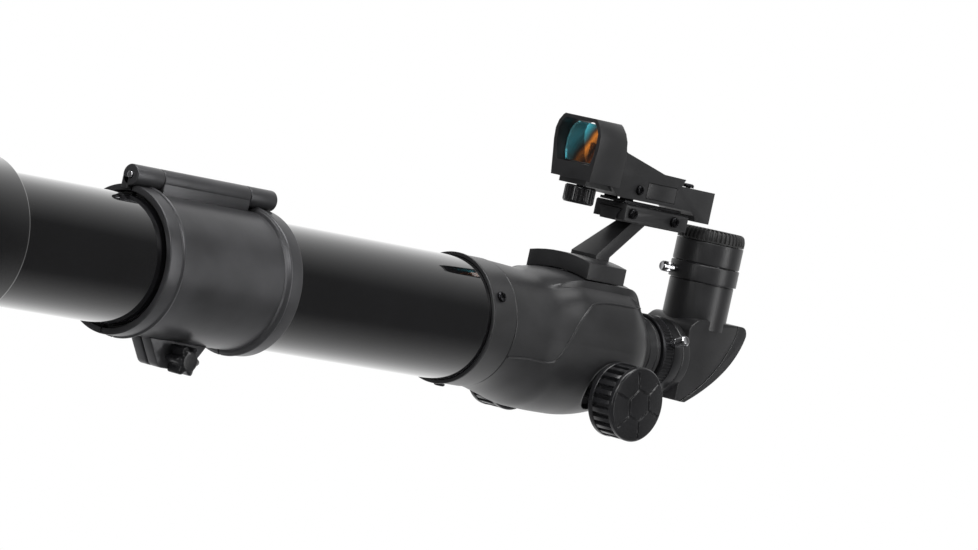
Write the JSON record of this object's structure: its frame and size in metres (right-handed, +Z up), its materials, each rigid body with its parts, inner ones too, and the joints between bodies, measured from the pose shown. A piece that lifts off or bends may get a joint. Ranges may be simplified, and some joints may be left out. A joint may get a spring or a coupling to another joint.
{
  "type": "refractor telescope",
  "caption": "Small refractor telescope tube in a hinged cradle, with rack-and-pinion focuser, right-angle diagonal, eyepiece and reflex finder.",
  "frame": {"origin": "middle of the side dovetail's outer flat face, which a mount's saddle holds", "axes": "+X along the optical axis from the objective to the eyepiece end, +Y out of the dovetail face, away from the tube, +Z up"},
  "size_m": [0.7543, 0.1266, 0.1958],
  "materials": {
    "gloss_tube": "gloss black enamel",
    "cradle_shell": "satin dark grey anodised shell",
    "black_metal": "black anodised",
    "black_plastic": "satin moulded black plastic",
    "knob_plastic": "semi-gloss black plastic",
    "felt": "black felt",
    "rubber": "soft black rubber",
    "bright_steel": "bright nickel plate",
    "black_steel": "black oxide",
    "draw_aluminium": "satin silver",
    "glass": "polished, coated",
    "coated_glass": "polished with a cyan and amber reflecting coating",
    "red_emitter": "clear red"
  },
  "bodies": {
    "cradle": {"cradle_far_half": "cradle_shell", "cradle_felt_far": "felt", "hinge_pin": "bright_steel", "mount_dovetail": "black_metal", "dovetail_screw_1": "bright_steel", "dovetail_screw_2": "bright_steel"},
    "cradle_door": {"cradle_near_half": "cradle_shell", "cradle_felt_near": "felt"},
    "clamp": {"clamp_knob": "knob_plastic", "clamp_stud": "bright_steel"},
    "tube": {"main_tube": "gloss_tube", "baffle": "black_metal", "lens_flint": "glass", "lens_crown": "glass", "lens_retainer": "black_metal", "objective_cell": "black_plastic", "focuser_housing": "black_plastic", "housing_screw_1": "black_steel", "housing_screw_2": "black_steel", "housing_screw_3": "black_steel", "drawtube_guide": "black_plastic", "drawtube_front_guide": "black_plastic", "shaft_bush_near": "knob_plastic", "shaft_bush_far": "knob_plastic", "finder_shoe": "black_plastic", "finder_bracket": "black_plastic"},
    "shield": {"dew_shield": "gloss_tube", "dew_shield_bezel": "black_plastic"},
    "draw": {"drawtube": "draw_aluminium", "focus_rack": "bright_steel", "drawtube_collar": "black_metal"},
    "focus": {"focus_shaft": "bright_steel", "focus_pinion": "bright_steel", "focus_knob_near": "knob_plastic", "focus_knob_far": "knob_plastic"},
    "draw_screw": {"drawtube_thumbscrew": "bright_steel"},
    "diagonal": {"diagonal_body": "black_plastic", "diagonal_cover": "black_plastic", "diagonal_prism": "glass", "diagonal_nosepiece": "bright_steel"},
    "eye_screw": {"eyepiece_thumbscrew": "bright_steel"},
    "eyepiece": {"eyepiece_barrel": "bright_steel", "eyepiece_body": "black_plastic", "eyecup": "rubber", "field_lens": "glass", "eye_lens": "glass"},
    "sight_clamp": {"finder_clamp": "black_plastic", "clamp_screw_1": "black_steel", "clamp_screw_2": "black_steel"},
    "sight_yoke": {"finder_yoke": "black_metal", "finder_pivot_pin": "bright_steel"},
    "sight": {"finder_body": "black_plastic", "finder_lens": "coated_glass", "finder_emitter": "red_emitter"},
    "side_screw": {"windage_screw": "black_steel"},
    "dimmer": {"dimmer_knob": "knob_plastic"},
    "battery": {"battery_drawer": "black_plastic", "battery_cell": "bright_steel"},
    "height_screw": {"altitude_screw": "black_steel"}
  },
  "joints": [
    {"name": "tube_slide", "type": "slide", "parent": "cradle", "child": "tube", "axis": [1, 0, 0], "range_m": [-0.05, 0.05]},
    {"name": "cradle_door_hinge", "type": "hinge", "parent": "cradle", "child": "cradle_door", "pos_m": [0, -0.058, 0.049], "axis": [-1, 0, 0], "range_deg": [0, 100]},
    {"name": "clamp_turn", "type": "hinge", "parent": "cradle_door", "child": "clamp", "pos_m": [0, -0.058, -0.05], "axis": [0, 1, 0], "continuous": true},
    {"name": "dew_shield_slide", "type": "slide", "parent": "tube", "child": "shield", "axis": [-1, 0, 0], "range_m": [0, 0.04]},
    {"name": "drawtube_slide", "type": "slide", "parent": "tube", "child": "draw", "axis": [1, 0, 0], "range_m": [0, 0.055]},
    {"name": "focus_knob_turn", "type": "hinge", "parent": "tube", "child": "focus", "pos_m": [0.3485, -0.058, -0.029], "axis": [0, 1, 0], "range_deg": [-5, 490]},
    {"name": "drawtube_thumbscrew_turn", "type": "hinge", "parent": "draw", "child": "draw_screw", "pos_m": [0.4155, -0.058, 0], "axis": [0, -0.9205, 0.3907], "range_deg": [0, 720]},
    {"name": "diagonal_turn", "type": "hinge", "parent": "draw", "child": "diagonal", "pos_m": [0.432, -0.058, 0], "axis": [1, 0, 0], "continuous": true},
    {"name": "eyepiece_thumbscrew_turn", "type": "hinge", "parent": "diagonal", "child": "eye_screw", "pos_m": [0.457, -0.058, 0.056], "axis": [-0.9659, 0.2588, 0], "range_deg": [0, 720]},
    {"name": "eyepiece_slide", "type": "slide", "parent": "diagonal", "child": "eyepiece", "axis": [0, 0, 1], "range_m": [0, 0.03]},
    {"name": "finder_slide", "type": "slide", "parent": "tube", "child": "sight_clamp", "axis": [1, 0, 0], "range_m": [-0.02, 0]},
    {"name": "finder_windage", "type": "hinge", "parent": "sight_clamp", "child": "sight_yoke", "pos_m": [0.361, -0.058, 0.09], "axis": [0, 0, 1], "range_deg": [-1, 1]},
    {"name": "finder_altitude", "type": "hinge", "parent": "sight_yoke", "child": "sight", "pos_m": [0.361, -0.058, 0.0955], "axis": [0, 1, 0], "range_deg": [-1, 1]},
    {"name": "dimmer_turn", "type": "hinge", "parent": "sight", "child": "dimmer", "pos_m": [0.324, -0.058, 0.09], "axis": [0, 0, 1], "range_deg": [0, 270]},
    {"name": "battery_drawer_slide", "type": "slide", "parent": "sight", "child": "battery", "axis": [0, -1, 0], "range_m": [0, 0.026]},
    {"name": "windage_screw_turn", "type": "hinge", "parent": "sight", "child": "side_screw", "pos_m": [0.3627, -0.072, 0.0997], "axis": [0, -1, 0], "range_deg": [-360, 360]},
    {"name": "altitude_screw_turn", "type": "hinge", "parent": "sight", "child": "height_screw", "pos_m": [0.424, -0.058, 0.1073], "axis": [0, 0, 1], "range_deg": [-360, 360]}
  ],
  "couplings": [
    {"joint": "focus_knob_turn", "follows": "drawtube_slide", "rad_per_m": 153.85}
  ]
}
